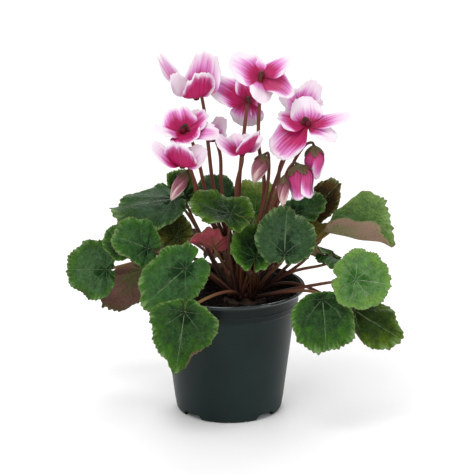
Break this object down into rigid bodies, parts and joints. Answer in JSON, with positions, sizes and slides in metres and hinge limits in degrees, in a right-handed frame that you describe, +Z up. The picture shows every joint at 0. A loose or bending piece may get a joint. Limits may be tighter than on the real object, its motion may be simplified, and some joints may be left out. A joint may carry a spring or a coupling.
{
  "type": "potted cyclamen",
  "caption": "Potted florist's cyclamen: toothed heart-shaped leaves and swept-back pink blooms on stalks, growing from a tuber in a round plastic nursery pot.",
  "frame": {"origin": "on the pot's axis, on the plane that the pot's feet stand on; the plant's bounding box is centred on it to within 2 mm", "axes": "+Z up the pot's axis; -Y towards the side that the picture shows; +X to the picture's right"},
  "size_m": [0.2314, 0.1384, 0.2516],
  "materials": {
    "pot": "satin dark grey-green moulded plastic",
    "soil": "rough dark moist peat",
    "tuber": "rough brown cork",
    "leaf_stalk": "satin reddish-brown stalk",
    "flower_stalk": "satin brown stalk, olive at the calyx",
    "leaf": "soft satin green with pale veins, mauve underside",
    "olive_leaf": "soft satin olive green",
    "bloom": "velvety crimson petal fading to white at the margin",
    "bud": "velvety pink, striped, with an olive cap"
  },
  "bodies": {
    "root": {"pot": "pot", "soil": "soil", "tuber": "tuber", "leaf_stalks_left_rear": "leaf_stalk", "leaf_stalks_left": "leaf_stalk", "leaf_stalks_front_left": "leaf_stalk", "leaf_stalks_front_right": "leaf_stalk", "leaf_stalks_right": "leaf_stalk", "leaf_stalks_rear": "leaf_stalk", "flower_stalks_left": "flower_stalk", "flower_stalks_centre": "flower_stalk", "flower_stalks_right": "flower_stalk", "leaf_far_left": "leaf", "leaf_behind_left": "leaf", "leaf_upper_left_round": "leaf", "leaf_top_left": "leaf", "leaf_front_left": "leaf", "leaf_front_hanging": "leaf", "leaf_centre_top": "leaf", "leaf_centre_right": "leaf", "leaf_curled_small": "leaf", "leaf_bright_centre": "leaf", "leaf_trough_right": "leaf", "leaf_round_right": "leaf", "leaf_low_right": "leaf", "leaf_far_right": "leaf", "leaf_brown_right": "olive_leaf", "leaf_back_right_low": "leaf", "leaf_olive_right": "olive_leaf", "leaf_back_centre": "leaf", "leaf_back_centre_left": "leaf", "leaf_back_left": "leaf", "leaf_olive_left": "olive_leaf", "leaf_small_left": "leaf", "leaf_rear_left": "leaf", "leaf_rear_centre_left": "leaf", "leaf_rear_centre": "leaf", "leaf_rear_right": "leaf", "leaf_side_right": "leaf", "bloom_top_left": "bloom", "bloom_top_centre": "bloom", "bloom_behind_centre": "bloom", "bloom_mid_left": "bloom", "bloom_low_left": "bloom", "bloom_low_centre": "bloom", "bloom_right": "bloom", "bloom_behind_right": "bloom", "bloom_behind_left": "bloom", "bud_left": "bud", "bud_centre": "bud", "bud_right_high": "bud", "bud_right_opening": "bud", "bud_right_small": "bud"}
  },
  "joints": []
}
